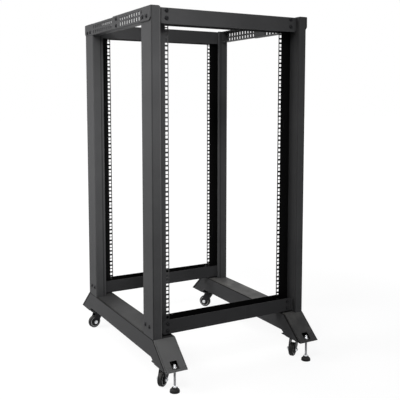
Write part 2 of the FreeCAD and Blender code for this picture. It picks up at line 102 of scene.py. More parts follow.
# %% Nodes that count
def add_math(tree, operation, first, second=0):
    """A math node on two sockets or numbers."""
    node = tree.nodes.new("ShaderNodeMath")
    node.operation = operation
    for i, value in enumerate((first, second)):
        if isinstance(value, (int, float)):
            node.inputs[i].default_value = value
        else:
            tree.links.new(value, node.inputs[i])
    return node.outputs[0]


def add_range(tree, value, from_low, from_high, to_low, to_high):
    """A smooth step from one range to another."""
    node = tree.nodes.new("ShaderNodeMapRange")
    node.interpolation_type = "SMOOTHSTEP"
    for label, number in (("From Min", from_low), ("From Max", from_high),
                          ("To Min", to_low), ("To Max", to_high)):
        node.inputs[label].default_value = number
    tree.links.new(value, node.inputs["Value"])
    return node.outputs["Result"]


def seen_rays(tree):
    """A value that is 1 for rays from the camera, from gloss and through glass."""
    path = tree.nodes.new("ShaderNodeLightPath").outputs
    seen = add_math(tree, "MAXIMUM", path["Is Camera Ray"], path["Is Glossy Ray"])
    return add_math(tree, "MAXIMUM", seen, path["Is Transmission Ray"])


# %% White for the camera, plain light for the object
SKY_COLOUR = (0.93, 0.95, 1.0, 1)
SKY_LIGHT = 0.12

world = bpy.data.worlds.new("studio")
bpy.context.scene.world = world
world.use_nodes = True
tree = world.node_tree
tree.nodes.clear()
plain = tree.nodes.new("ShaderNodeBackground")
plain.inputs["Color"].default_value = SKY_COLOUR
plain.inputs["Strength"].default_value = SKY_LIGHT
white = tree.nodes.new("ShaderNodeBackground")
white.inputs["Color"].default_value = (1, 1, 1, 1)
white.inputs["Strength"].default_value = 1.0
choose = tree.nodes.new("ShaderNodeMixShader")
sky = tree.nodes.new("ShaderNodeOutputWorld")
tree.links.new(seen_rays(tree), choose.inputs[0])
tree.links.new(plain.outputs[0], choose.inputs[1])
tree.links.new(white.outputs[0], choose.inputs[2])
tree.links.new(choose.outputs[0], sky.inputs["Surface"])
print("world:", world.name, "with", len(tree.nodes), "nodes")

# %% [markdown]
# The floor has to do two things: stay white, and keep the soft shadow under the casters. So its
# white glow is a little weaker near the rack, where the painted floor shows through, and full
# further out, where the floor runs into the background.

# %% Floor
FLOOR_SIZE = 60
FLOOR_GAP = 0.0005
FLOOR_GLOW = 1.07
GLOW_GROWS = (0.9, 2.2)
GLOW_SHARE = (0.84, 1.0)

bpy.ops.object.select_all(action="DESELECT")
bpy.ops.mesh.primitive_plane_add(size=FLOOR_SIZE, location=(0, 0, low.z - FLOOR_GAP))
floor = bpy.context.object
floor.name = "studio_floor"

floor_paint = bpy.data.materials.new("floor_paint")
floor_paint.use_nodes = True
tree = floor_paint.node_tree
paint = tree.nodes["Principled BSDF"]
paint.inputs["Base Color"].default_value = (0.9, 0.9, 0.9, 1)
paint.inputs["Roughness"].default_value = 0.9
paint.inputs["Specular IOR Level"].default_value = 0.0
glow = tree.nodes.new("ShaderNodeEmission")
glow.inputs["Strength"].default_value = FLOOR_GLOW
distance = tree.nodes.new("ShaderNodeVectorMath")
distance.operation = "LENGTH"
tree.links.new(tree.nodes.new("ShaderNodeTexCoord").outputs["Object"], distance.inputs[0])
outward = add_range(tree, distance.outputs["Value"], *GLOW_GROWS, *GLOW_SHARE)
blend_in = tree.nodes.new("ShaderNodeMixShader")
tree.links.new(add_math(tree, "MULTIPLY", seen_rays(tree), outward), blend_in.inputs[0])
tree.links.new(paint.outputs[0], blend_in.inputs[1])
tree.links.new(glow.outputs[0], blend_in.inputs[2])
tree.links.new(blend_in.outputs[0], tree.nodes["Material Output"].inputs["Surface"])
floor.data.materials.append(floor_paint)
print("floor:", FLOOR_SIZE, "m wide, full glow from", GLOW_GROWS[1], "m out")

# %% [markdown]
# Dark powder coat shows its folds only when its sides get different amounts of light. A big
# soft lamp on the left lights the sides of the posts. A small one near the front left corner
# lifts the fronts, and since it is near, they grow darker towards the right. Two weak lamps keep
# the right and the back from going black. Two soft spots add to the upper left: one on the
# front post, and one on the rear post behind it.

# %% Lamps
def add_lamp(name, kind, place, target, watts):
    """A lamp that faces a point. Returns its data, for what only that kind of lamp has."""
    data = bpy.data.lights.new(name, kind)
    data.energy = watts
    lamp = bpy.data.objects.new(name, data)
    bpy.context.scene.collection.objects.link(lamp)
    lamp.location = place
    aim = Vector(target) - Vector(place)
    lamp.rotation_euler = aim.to_track_quat("-Z", "Y").to_euler()
    return data


height = high.z - low.z
centre_line = (0, 0, 0.6 * height)
front_post = (low.x, low.y, 0.75 * height)
rear_post = (low.x, 0.3, 0.64 * height)
for name, place, target, watts, size in (
        ("lamp_left", (-2.3, 0.7, 2.0), centre_line, 66, 1.6),
        ("lamp_front", (-1.0, -1.3, 2.1), front_post, 20, 0.8),
        ("lamp_right", (2.6, -1.8, 1.3), (0.2, 0, 0.6 * height), 10, 1.6),
        ("lamp_back", (0.9, 2.8, 2.0), centre_line, 25, 2.0)):
    add_lamp(name, "AREA", place, target, watts).size = size
for name, place, target, watts, cone, softness in (
        ("lamp_spot", (-0.9, -2.2, 2.4), front_post, 215, 26, 0.25),
        ("lamp_rear_spot", (-1.6, -1.7, 2.0), rear_post, 210, 24, 0.2)):
    spot = add_lamp(name, "SPOT", place, target, watts)
    spot.spot_size = math.radians(cone)
    spot.spot_blend = 1.0
    spot.shadow_soft_size = softness

# %% [markdown]
# ## Finishes
# An effect that turns up in several materials is a node group, built once and dropped into each
# material with its own values. A group is like a tool on the bench: it knows how to do one
# thing and is told how strongly.
#
# The first three groups are for every surface. *Coat grain* is the orange peel of powder coat
# and moulded rubber, and also says where the colour is a little lighter.


# %% Node group: coat grain
def new_group(name, inputs, outputs):
    """An empty shader node group with float sockets, and its two end nodes."""
    group = bpy.data.node_groups.new(name, "ShaderNodeTree")
    for label, value in inputs:
        socket = group.interface.new_socket(name=label, in_out="INPUT", socket_type="NodeSocketFloat")
        socket.default_value = value
    for label in outputs:
        group.interface.new_socket(name=label, in_out="OUTPUT", socket_type="NodeSocketFloat")
    start = group.nodes.new("NodeGroupInput")
    end = group.nodes.new("NodeGroupOutput")
    return group, start, end


def add_noise(group, vector, scale, detail):
    """A noise texture on a vector. The scale is a number, or a socket to take it from."""
    noise = group.nodes.new("ShaderNodeTexNoise")
    noise.inputs["Detail"].default_value = detail
    group.links.new(vector, noise.inputs["Vector"])
    if isinstance(scale, (int, float)):
        noise.inputs["Scale"].default_value = scale
    else:
        group.links.new(scale, noise.inputs["Scale"])
    return noise.outputs["Fac"]


def object_place(group):
    """Where a point is. Every piece sits at the origin, so this is its place in the rack."""
    return group.nodes.new("ShaderNodeTexCoord").outputs["Object"]


SHADES_PER_METRE = 9.0
coat_grain, start, end = new_group("coat_grain", [("Grain per metre", 900.0)], ["Height", "Shade"])
where = object_place(coat_grain)
fine = add_noise(coat_grain, where, start.outputs["Grain per metre"], 2.0)
broad = add_noise(coat_grain, where, SHADES_PER_METRE, 3.0)
coat_grain.links.new(fine, end.inputs["Height"])
coat_grain.links.new(broad, end.inputs["Shade"])
print("group", coat_grain.name, "puts out", [s.name for s in end.inputs if s.name])

# %% [markdown]
# *Settled dust* gathers on what faces up, in soft patches. The normal of the surface tells how
# far a point faces up, and a noise breaks the dust into patches.


# %% Node group: settled dust
def split_xyz(group, vector):
    """The X, Y and Z of a vector, as sockets."""
    split = group.nodes.new("ShaderNodeSeparateXYZ")
    group.links.new(vector, split.inputs[0])
    return split.outputs


def surface_normal(group):
    """The way that a surface faces, with its X, Y and Z apart."""
    return split_xyz(group, group.nodes.new("ShaderNodeNewGeometry").outputs["Normal"])


def put_out(group, mask, start, end, label):
    """Sends a mask, times the Amount that the material asks for, out of a group."""
    group.links.new(add_math(group, "MULTIPLY", mask, start.outputs["Amount"]), end.inputs[label])


FACES_UP = (0.3, 1.0)
PATCH_EDGE = (0.35, 0.75)
THINNEST_DUST = 0.25

settled_dust, start, end = new_group(
    "settled_dust", [("Amount", 0.5), ("Patches per metre", 14.0)], ["Mask"])
upward = add_range(settled_dust, surface_normal(settled_dust)["Z"], *FACES_UP, 0.0, 1.0)
patches = add_noise(settled_dust, object_place(settled_dust), start.outputs["Patches per metre"], 5.0)
patches = add_range(settled_dust, patches, *PATCH_EDGE, THINNEST_DUST, 1.0)
put_out(settled_dust, add_math(settled_dust, "MULTIPLY", upward, patches), start, end, "Mask")
print("group", settled_dust.name, "is ready")

# %% [markdown]
# *Fine scuffs* are long thin marks that handling leaves. A stretched noise is cut off close to
# its peak, so only a few streaks are left, and a second noise keeps them to some regions.

# %% Node group: fine scuffs
SCUFF_TURN = (0.5, 0.35, 0.8)
SCUFF_STRETCH = (220.0, 220.0, 9.0)
STREAK_EDGE = (0.68, 0.76)
REGIONS_PER_METRE = 4.0
REGION_EDGE = (0.5, 0.66)

fine_scuffs, start, end = new_group("fine_scuffs", [("Amount", 0.5)], ["Mask"])
where = object_place(fine_scuffs)
stretch = fine_scuffs.nodes.new("ShaderNodeMapping")
stretch.inputs["Rotation"].default_value = SCUFF_TURN
stretch.inputs["Scale"].default_value = SCUFF_STRETCH
fine_scuffs.links.new(where, stretch.inputs["Vector"])
streaks = add_noise(fine_scuffs, stretch.outputs[0], 1.0, 2.0)
streaks = add_range(fine_scuffs, streaks, *STREAK_EDGE, 0.0, 1.0)
region = add_noise(fine_scuffs, where, REGIONS_PER_METRE, 2.0)
region = add_range(fine_scuffs, region, *REGION_EDGE, 0.0, 1.0)
put_out(fine_scuffs, add_math(fine_scuffs, "MULTIPLY", streaks, region), start, end, "Mask")
print("group", fine_scuffs.name, "is ready")

# %% [markdown]
# The other groups are masks for places of this rack. Most of them paint shade or light into
# the colour, where light does not reach or where it falls strongly, and a few follow where use
# has left a trace. They could be painted by hand, but a mask that is worked out from the place of
# a point follows the frame when a size changes.
#
# This group finds the mounting flanges, which lie deep between the folds of the posts, and
# darkens them nearly to black as painted shade. They are the faces at one distance from the
# middle of the rack, inside the step of the post. A second mask is the wall of that step, which
# gets only half the light, and it gets painted shade too.


# %% Node group: painted shade on the flanges and step walls
def add_compare(group, value, number, width):
    """1 where a value is within a width of a number, and 0 elsewhere."""
    node = group.nodes.new("ShaderNodeMath")
    node.operation = "COMPARE"
    group.links.new(value, node.inputs[0])
    node.inputs[1].default_value = number
    node.inputs[2].default_value = width
    return node.outputs[0]


def from_middle(group, place, axis):
    """How far a point is from the middle of the rack, along X or Y."""
    return add_math(group, "ABSOLUTE", place[axis])


SHEET = 0.002
FLANGE_SHARE = 0.6
FACE_WIDTH = 0.033
STEP_LINE = 0.0025
post_near, post_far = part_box("post_front_right")
flange = next(m["pos_m"] for m in record["mounts"] if m["name"] == "front_mounting_face_left")
flange_x, flange_y = abs(flange[0]), abs(flange[1])

flange_and_step_shade, start, end = new_group("flange_and_step_shade", [("Amount", 0.8)], ["Mask", "Step shade"])
place = split_xyz(flange_and_step_shade, object_place(flange_and_step_shade))
out = from_middle(flange_and_step_shade, place, "X")
away = from_middle(flange_and_step_shade, place, "Y")
# the flange sheet inside the step of the post: painted shade
sheet = add_compare(flange_and_step_shade, away, flange_y - SHEET / 2, 0.75 * SHEET)
inside = add_math(flange_and_step_shade, "LESS_THAN", out, flange_x + FLANGE_SHARE * (post_far.x - flange_x))
put_out(flange_and_step_shade, add_math(flange_and_step_shade, "MULTIPLY", sheet, inside), start, end, "Mask")
# the wall of the step: painted shade
wall = add_compare(flange_and_step_shade, out, post_far.x - FACE_WIDTH, STEP_LINE)
put_out(flange_and_step_shade, wall, start, end, "Step shade")
print("group", flange_and_step_shade.name, "is ready")

# %% [markdown]
# *Post corners* are two thin lines down the posts. The outer corner is rounded, and a dark line
# painted on it stands in for the dark room that it mirrors: a painted reflection. On the left
# posts the inner fold of the face gets a painted highlight, a little lighter.

# %% Node group: post corners
FACE_DEPTH = 0.0035
CORNER_LINE = 0.0032
FOLD_IN = 0.0312
FOLD_LINE = 0.0018

post_corners, start, end = new_group("post_corners", [("Amount", 1.0)], ["Dark", "Fold highlight"])
place = split_xyz(post_corners, object_place(post_corners))
out = from_middle(post_corners, place, "X")
away = from_middle(post_corners, place, "Y")
on_face = add_math(post_corners, "GREATER_THAN", away, -post_near.y - FACE_DEPTH)
# a painted reflection: a dark line down the rounded outer corner
corner_line = add_compare(post_corners, out, post_far.x, CORNER_LINE)
put_out(post_corners, add_math(post_corners, "MULTIPLY", corner_line, on_face), start, end, "Dark")
# a painted highlight down the inner fold of the face, on the left posts only
fold_line = add_compare(post_corners, out, post_far.x - FOLD_IN, FOLD_LINE)
fold_line = add_math(post_corners, "MULTIPLY", fold_line, on_face)
on_left = add_math(post_corners, "LESS_THAN", place["X"], 0)
put_out(post_corners, add_math(post_corners, "MULTIPLY", fold_line, on_left), start, end, "Fold highlight")
print("group", post_corners.name, "is ready")

# %% [markdown]
# This group is for the base channels. The sloping plates of their toes are folded, not
# welded, so a dark gap runs along the edges; the mask darkens a band along that gap, so it is the
# gap and painted shade beside it. That mask is the distance from the line of the slope, on the
# sides of a channel. The same distance finds the sloping plate itself, which gets painted light.
# The top of the channel has a mask of its own for painted shade, and the folds along it are dark
# lines of painted shade, like the dark corners of the posts.

# %% Node group: channel gap, painted light and painted shade
GAP_IN = 0.0045
GAP_LINE = 0.005
PLATE_LINE = 0.002
TOP_LINE = 0.004
EDGE_LINE = 0.0045

channel_near, channel_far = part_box("base_channel_left")
post_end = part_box("post_rear_left")
foot_top = post_end[0].z
run = channel_far.y - post_end[1].y
fall = foot_top - channel_near.z
slope = math.hypot(run, fall)

channel_gap_light_shade, start, end = new_group("channel_gap_light_shade", [("Amount", 0.8)],
                                     ["Mask", "Slope", "Top", "Folds"])
place = split_xyz(channel_gap_light_shade, object_place(channel_gap_light_shade))
out = from_middle(channel_gap_light_shade, place, "X")
away = from_middle(channel_gap_light_shade, place, "Y")
from_y = add_math(channel_gap_light_shade, "SUBTRACT", away, channel_far.y - run)
from_z = add_math(channel_gap_light_shade, "SUBTRACT", place["Z"], foot_top)
from_y = add_math(channel_gap_light_shade, "MULTIPLY", from_y, fall / slope)
from_z = add_math(channel_gap_light_shade, "MULTIPLY", from_z, run / slope)
distance = add_math(channel_gap_light_shade, "ADD", from_y, from_z)

# the dark gap along the slope, with painted shade beside it
gap = add_compare(channel_gap_light_shade, distance, -GAP_IN, GAP_LINE)
sideways = add_math(channel_gap_light_shade, "ABSOLUTE", surface_normal(channel_gap_light_shade)["X"])
sideways = add_math(channel_gap_light_shade, "GREATER_THAN", sideways, 0.7)
put_out(channel_gap_light_shade, add_math(channel_gap_light_shade, "MULTIPLY", gap, sideways), start, end, "Mask")
# the sloping plate: painted light
plate = add_compare(channel_gap_light_shade, distance, 0.0, PLATE_LINE)
beyond = add_math(channel_gap_light_shade, "GREATER_THAN", away, channel_far.y - run)
put_out(channel_gap_light_shade, add_math(channel_gap_light_shade, "MULTIPLY", plate, beyond), start, end, "Slope")
# the top of the channel: painted shade
top = add_compare(channel_gap_light_shade, place["Z"], foot_top, TOP_LINE)
put_out(channel_gap_light_shade, top, start, end, "Top")
# the folds along the top: lines of painted shade
outer_edge = add_compare(channel_gap_light_shade, out, -channel_near.x, EDGE_LINE)
inner_edge = add_compare(channel_gap_light_shade, out, -channel_far.x, EDGE_LINE)
edges = add_math(channel_gap_light_shade, "ADD", outer_edge, inner_edge)
put_out(channel_gap_light_shade, add_math(channel_gap_light_shade, "MULTIPLY", edges, top), start, end, "Folds")
print("group", channel_gap_light_shade.name, "puts out", [s.name for s in end.inputs if s.name])

# %% [markdown]
# *Beam insides* is for the bottom beams. They are channels that open upwards, and no light gets
# into them, so their insides are painted with shade. The mask is the space between the outer
# skins of a beam, a millimetre short of each.

# %% Node group: beam insides
BEAM_SKIN = 0.001
beam_near, beam_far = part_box("beam_bottom_rear")
beam_middle = (beam_near + beam_far) / 2

beam_insides, start, end = new_group("beam_insides", [("Amount", 0.9)], ["Mask"])
place = split_xyz(beam_insides, object_place(beam_insides))
away = from_middle(beam_insides, place, "Y")
between = add_compare(beam_insides, away, beam_middle.y, (beam_far.y - beam_near.y) / 2 - BEAM_SKIN)
above = add_math(beam_insides, "GREATER_THAN", place["Z"], beam_near.z + BEAM_SKIN)
put_out(beam_insides, add_math(beam_insides, "MULTIPLY", between, above), start, end, "Mask")
print("group", beam_insides.name, "is ready")

# %% [markdown]
# *Rim ring* is the flat of a wheel's rim, which is rubbed bright. The mask is a thin shell
# around the centre of the wheel, which meets the wheel only there, and the material of each
# wheel passes its centre.

# %% Node group: rim ring
RIM_OUTSIDE = 0.0004
RIM_LINE = 0.0014
wheel_near, wheel_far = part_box("caster_wheel_front_left")
rim_radius = (wheel_far.z - wheel_near.z) / 2

rim_ring, start, end = new_group(
    "rim_ring",
    [("Amount", 0.8), ("Centre X", 0.0), ("Centre Y", 0.0), ("Centre Z", 0.0)],
    ["Mask"])
centre = rim_ring.nodes.new("ShaderNodeCombineXYZ")
for axis in "XYZ":
    rim_ring.links.new(start.outputs["Centre " + axis], centre.inputs[axis])
distance = rim_ring.nodes.new("ShaderNodeVectorMath")
distance.operation = "DISTANCE"
rim_ring.links.new(object_place(rim_ring), distance.inputs[0])
rim_ring.links.new(centre.outputs[0], distance.inputs[1])
shell = add_compare(rim_ring, distance.outputs["Value"], rim_radius + RIM_OUTSIDE, RIM_LINE)
put_out(rim_ring, shell, start, end, "Mask")
print("group", rim_ring.name, "is ready, for rims", round(rim_radius * 2000, 1), "mm across")

# %% [markdown]
# Every finish is the same stack: a colour that varies a little over the piece, the masks of its
# own places over it, then dust, then scuffs, and the grain as a small bump. One function builds
# the stack, and each material passes its own colours and strengths. Values that are the same
# everywhere, such as how metallic a finish is, are typed on the shader itself.

# %% Build a finish
def mix_colour(tree, factor, first, second):
    """A colour mix. Each colour is a socket or an RGB tuple."""
    mix = tree.nodes.new("ShaderNodeMix")
    mix.data_type = "RGBA"
    tree.links.new(factor, mix.inputs["Factor"])
    for socket, colour in ((mix.inputs[6], first), (mix.inputs[7], second)):
        if isinstance(colour, tuple):
            socket.default_value = (*colour, 1)
        else:
            tree.links.new(colour, socket)
    return mix.outputs[2]


def place_group(tree, group, **values):
    """A node group in a material, with its input values."""
    node = tree.nodes.new("ShaderNodeGroup")
    node.node_tree = group
    for label, value in values.items():
        node.inputs[label.replace("_", " ")].default_value = value
    return node.outputs


def grey(level):
    """A plain grey as an RGB tuple."""
    return (level, level, level)


GRAIN_DEPTH = 0.0004


def finish(name, dark, light, dust=0.3, dust_colour=(0.32, 0.31, 0.29), scuff=0.3,
           scuff_colour=grey(0.2), grain=900.0, bump=0.12, metallic=0.0,
           roughness=(0.4, 0.5), specular=0.5, shades=()):
    """A procedural material from the groups. Shades are more masks, with values and a colour."""
    material = bpy.data.materials.new(name)
    material.use_nodes = True
    tree = material.node_tree
    shader = tree.nodes["Principled BSDF"]
    shader.inputs["Metallic"].default_value = metallic
    shader.inputs["Specular IOR Level"].default_value = specular
    coat = place_group(tree, coat_grain, Grain_per_metre=grain)
    dusty = place_group(tree, settled_dust, Amount=dust)
    scuffed = place_group(tree, fine_scuffs, Amount=scuff)
    colour = mix_colour(tree, coat["Shade"], dark, light)
    for group, label, values, shade in shades:
        colour = mix_colour(tree, place_group(tree, group, **values)[label], colour, shade)
    colour = mix_colour(tree, dusty["Mask"], colour, dust_colour)
    colour = mix_colour(tree, scuffed["Mask"], colour, scuff_colour)
    tree.links.new(colour, shader.inputs["Base Color"])
    rough = tree.nodes.new("ShaderNodeMapRange")
    for label, number in (("From Min", 0.3), ("From Max", 0.7),
                          ("To Min", roughness[0]), ("To Max", roughness[1])):
        rough.inputs[label].default_value = number
    tree.links.new(coat["Shade"], rough.inputs["Value"])
    tree.links.new(rough.outputs[0], shader.inputs["Roughness"])
    relief = tree.nodes.new("ShaderNodeBump")
    relief.inputs["Strength"].default_value = bump
    relief.inputs["Distance"].default_value = GRAIN_DEPTH
    tree.links.new(coat["Height"], relief.inputs["Height"])
    tree.links.new(relief.outputs[0], shader.inputs["Normal"])
    return material


# %% [markdown]
# The steel parts share one fine black powder coat. The posts, the bottom beams and the base
# channels add the masks of their own places, mostly painted shade and light. The front left post
# stands in the light of the studio, so its flange gets no painted shade and stays grey. The
# bottom beams and the base channels are darker copies of the coat, a painted shade low in the
# rack. The left base channel gets painted shade on its top and painted light on its slopes, and
# less dust than the right one.

# %% Powder coat
COAT_COLOURS = ((0.042, 0.042, 0.043), (0.06, 0.06, 0.061))
COAT_SCUFF = grey(0.1)
COAT_SPECULAR = 0.02


def post_finish(name, flange_painted_shade):
    """The coat of a post, with painted shade on its step wall and flange, and how dark that flange is painted."""
    return finish(name, *COAT_COLOURS, dust=0.15, scuff=0.25, scuff_colour=COAT_SCUFF,
                  specular=COAT_SPECULAR,
                  # painted shade on the step wall and on the flange
                  shades=((flange_and_step_shade, "Step shade", dict(Amount=0.5), grey(0.008)),
                          (flange_and_step_shade, "Mask", dict(Amount=flange_painted_shade), grey(0.001)),
                          # a painted reflection on the outer corner and a painted highlight on the inner fold
                          (post_corners, "Dark", dict(Amount=0.5), grey(0.01)),
                          (post_corners, "Fold highlight", dict(Amount=0.7), grey(0.12))))


def foot_finish(name, dust, slope_light, shaded):
    """The coat of a base channel: its dust, its painted light on the slopes and its painted shade on the top."""
    # darker than the coat of the posts: painted shade low in the rack
    return finish(name, (0.037, 0.037, 0.038), (0.052, 0.052, 0.053), dust=dust, scuff=0.35,
                  scuff_colour=COAT_SCUFF, specular=COAT_SPECULAR,
                  # a dark gap widened by painted shade, painted shade on the top and along its folds, and painted
                  # light on the slopes
                  shades=((channel_gap_light_shade, "Mask", dict(Amount=0.9), grey(0.004)),
                          (channel_gap_light_shade, "Top", dict(Amount=shaded), grey(0.02)),
                          (channel_gap_light_shade, "Folds", dict(Amount=0.85), grey(0.006)),
                          (channel_gap_light_shade, "Slope", dict(Amount=slope_light), grey(0.12))))


powder_coat = finish("powder_coat", *COAT_COLOURS, dust=0.15, scuff=0.25,
                     scuff_colour=COAT_SCUFF, specular=COAT_SPECULAR)
# the other posts get painted shade on their flanges; the front left post, which is lit, only on its step walls
post_coat = post_finish("post_coat", 0.95)
near_post_coat = post_finish("near_post_coat", 0.0)
# darker than the coat of the posts: painted shade low in the rack, and painted shade inside the beams
low_beam_coat = finish("low_beam_coat", (0.026, 0.026, 0.027), (0.036, 0.036, 0.037), dust=0.05,
                       scuff=0.25, scuff_colour=grey(0.07), specular=COAT_SPECULAR,
                       shades=((beam_insides, "Mask", dict(Amount=0.93), grey(0.001)),))
# two copies of one coat: only the left one has painted shade on its top and painted light on its slopes
left_foot_coat = foot_finish("left_foot_coat", 0.03, 0.9, 0.5)
right_foot_coat = foot_finish("right_foot_coat", 0.3, 0.0, 0.0)
caster_coat = finish("caster_coat", (0.01, 0.01, 0.011), (0.018, 0.018, 0.019), dust=0.12,
                     grain=600.0, roughness=(0.3, 0.42), specular=0.12)
print("coats:", [m.name for m in bpy.data.materials if "coat" in m.name])

# %% [markdown]
# The hardware is bright zinc where it is clean, grey steel where it is worn by use, and black
# on the screws. The wheels are dark plastic, and the treads and pads are rubber, which is
# rougher and has a coarser grain.

# %% Metal, plastic and rubber
bright_zinc = finish("bright_zinc", (0.62, 0.63, 0.65), (0.8, 0.81, 0.82), dust=0.05, scuff=0.3,
                     scuff_colour=(0.45, 0.45, 0.46), grain=1500.0, bump=0.05, metallic=0.85,
                     roughness=(0.22, 0.34))
grey_steel = finish("grey_steel", (0.14, 0.14, 0.145), (0.24, 0.24, 0.25), dust=0.03, scuff=0.2,
                    grain=1500.0, bump=0.05, metallic=1.0, roughness=(0.3, 0.42))
black_screw = finish("black_screw", (0.006, 0.006, 0.007), (0.012, 0.012, 0.013), dust=0.03,
                     grain=1800.0, bump=0.06, roughness=(0.3, 0.42), specular=0.1)
worn_screw = finish("worn_screw", (0.2, 0.2, 0.205), (0.32, 0.32, 0.33), dust=0.03, grain=1800.0,
                    bump=0.05, metallic=1.0, roughness=(0.25, 0.35))


def wheel_finish(name, shades=()):
    """The dark plastic of the wheels."""
    return finish(name, (0.02, 0.02, 0.021), (0.034, 0.034, 0.035), dust=0.12,
                  dust_colour=(0.14, 0.13, 0.12), scuff=0.3, scuff_colour=grey(0.08),
                  grain=700.0, bump=0.08, specular=0.15, shades=shades)


wheel_plastic = wheel_finish("wheel_plastic")
tread_rubber = finish("tread_rubber", grey(0.012), grey(0.024), dust=0.25,
                      scuff=0.6, scuff_colour=(0.06, 0.058, 0.055), grain=500.0, bump=0.25,
                      roughness=(0.55, 0.7), specular=0.12)
pad_rubber = finish("pad_rubber", grey(0.01), grey(0.018), dust=0.12,
                    grain=450.0, bump=0.3, roughness=(0.5, 0.65), specular=0.12)
print("finishes:", len(bpy.data.materials), "materials so far")

# %% [markdown]
# Each solid asks for a finish by the name of its material slot. Some solids get a special one
# instead, found by how their name begins. Every wheel has its own, because its bright rim needs
# the centre of that wheel.

# %% Dress the solids
CORNERS = ("front_left", "front_right", "rear_left", "rear_right")
finishes = {
    "powder_coat": powder_coat,
    "caster_steel": caster_coat,
    "zinc": bright_zinc,
    "wheel_plastic": wheel_plastic,
    "tread": tread_rubber,
    "pad_rubber": pad_rubber,
}
special_finishes = {
    "post_": post_coat,
    "post_front_left": near_post_coat,
    "beam_bottom_": low_beam_coat,
    "base_channel_left": left_foot_coat,
    "base_channel_right": right_foot_coat,
}
for corner in CORNERS:
    near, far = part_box("caster_wheel_" + corner)
    centre = (near + far) / 2
    values = dict(Amount=0.8, Centre_X=centre.x, Centre_Y=centre.y, Centre_Z=centre.z)
    bright_rim = (rim_ring, "Mask", values, grey(0.28))
    special_finishes["caster_wheel_" + corner] = wheel_finish("wheel_plastic_" + corner, (bright_rim,))
slot_of = {part["node"]: part["material_slot"] for part in record["subparts"]}
for name, node in frame["nodes"].items():
    coat = finishes[slot_of[name]]
    for beginning, special in special_finishes.items():
        if name.startswith(beginning):
            coat = special
    node.data.materials.clear()
    node.data.materials.append(coat)
print("finishes:", ", ".join(sorted(finishes)), "and", len(special_finishes), "special ones")

# %% [markdown]
# ## Modelling by hand, in code
# Every new piece below starts as a primitive and is shaped in edit mode. In the window you
# would click the faces to work on. In code they are picked by where they are, or by the way
# they face, and a few small helpers do that. What repeats is modelled once as a pattern around
# the Z axis, and each place gets a copy with a mesh of its own. A copy rides on the body of the
# frame that it moves with, and some new pieces replace a plainer solid.


# %% Start a piece, pick its faces, raise them
def add_cylinder(sides, radius, depth, centre=(0, 0, 0)):
    """A capped cylinder along Z."""
    bpy.ops.object.select_all(action="DESELECT")
    bpy.ops.mesh.primitive_cylinder_add(vertices=sides, radius=radius, depth=depth, location=centre)
    bpy.ops.object.transform_apply(location=True, rotation=True, scale=True)


def start_piece(name):
    """Names the primitive that was just added and opens it in edit mode, with nothing picked."""
    piece = bpy.context.object
    piece.name = name
    bpy.ops.object.mode_set(mode="EDIT")
    bpy.ops.mesh.select_all(action="DESELECT")
    return piece


def pick(piece, kind, test):
    """Picks the faces, edges or vertices that pass a test, and nothing else."""
    bpy.ops.mesh.select_all(action="DESELECT")
    bpy.ops.mesh.select_mode(type=kind)
    mesh = bmesh.from_edit_mesh(piece.data)
    for part in {"FACE": mesh.faces, "EDGE": mesh.edges, "VERT": mesh.verts}[kind]:
        if test(part):
            part.select_set(True)
    mesh.select_flush_mode()
    bmesh.update_edit_mesh(piece.data)


def facing(direction, least=0.9):
    """A test for faces that look along a direction."""
    return lambda face: face.normal.dot(Vector(direction)) > least


UP, DOWN = (0, 0, 1), (0, 0, -1)


def raise_picked(rise, share=1.0):
    """Extrudes the picked faces along Z and draws them in towards the Z axis."""
    bpy.ops.mesh.extrude_region_move(TRANSFORM_OT_translate={"value": (0, 0, rise)})
    bpy.ops.transform.resize(value=(share, share, 1), center_override=(0, 0, 0))


# %% End a piece, cut it, copy it
def end_piece(piece, smooth=35.0):
    """Leaves edit mode and shades soft curves smooth, but keeps true edges sharp."""
    bpy.ops.object.mode_set(mode="OBJECT")
    bpy.ops.object.select_all(action="DESELECT")
    piece.select_set(True)
    bpy.context.view_layer.objects.active = piece
    bpy.ops.object.shade_smooth_by_angle(angle=math.radians(smooth))


def cut_away(piece, tool):
    """Takes one piece out of another, and removes the tool."""
    change = piece.modifiers.new("cut", "BOOLEAN")
    change.operation = "DIFFERENCE"
    change.object = tool
    change.solver = "EXACT"
    bpy.ops.object.select_all(action="DESELECT")
    piece.select_set(True)
    bpy.context.view_layer.objects.active = piece
    bpy.ops.object.modifier_apply(modifier="cut")
    bpy.data.objects.remove(tool)


def copy_to(pattern, name, place, outward, body, *materials):
    """A copy of a pattern whose +Z points outward, with its own mesh, riding on a body."""
    piece = pattern.copy()
    piece.data = pattern.data.copy()
    piece.name = name
    bpy.context.scene.collection.objects.link(piece)
    turn = Vector(outward).to_track_quat("Z", "Y").to_matrix().to_4x4()
    piece.data.transform(Matrix.Translation(Vector(place)) @ turn)
    piece.data.materials.clear()
    for material in materials:
        piece.data.materials.append(material)
    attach(piece, body)
    return piece


def retire(pattern):
    """Removes a pattern once its copies are made."""
    bpy.data.objects.remove(pattern)


# %% [markdown]
# ## Bolts
# The posts, beams, rails and feet are held together by flanged button head bolts. A bolt could
# be turned from a profile, but its socket has six sides, so it is easier to raise the head step
# by step from a disc and then to cut the socket out with a six-sided tool. The tip of the head
# has a slot of its own in the material list, since that is where tools rub.

# %% Model one bolt
FLANGE_RADIUS = 0.0072
FLANGE_HEIGHT = 0.0012
FLANGE_RIM = 0.0014
HEAD_STEPS = ((0.0016, 0.92), (0.0011, 0.74))
SOCKET_RADIUS = 0.0023
SOCKET_DEPTH = 0.004
SOCKET_MIDDLE = 0.0045
TIP_FROM = 0.0033

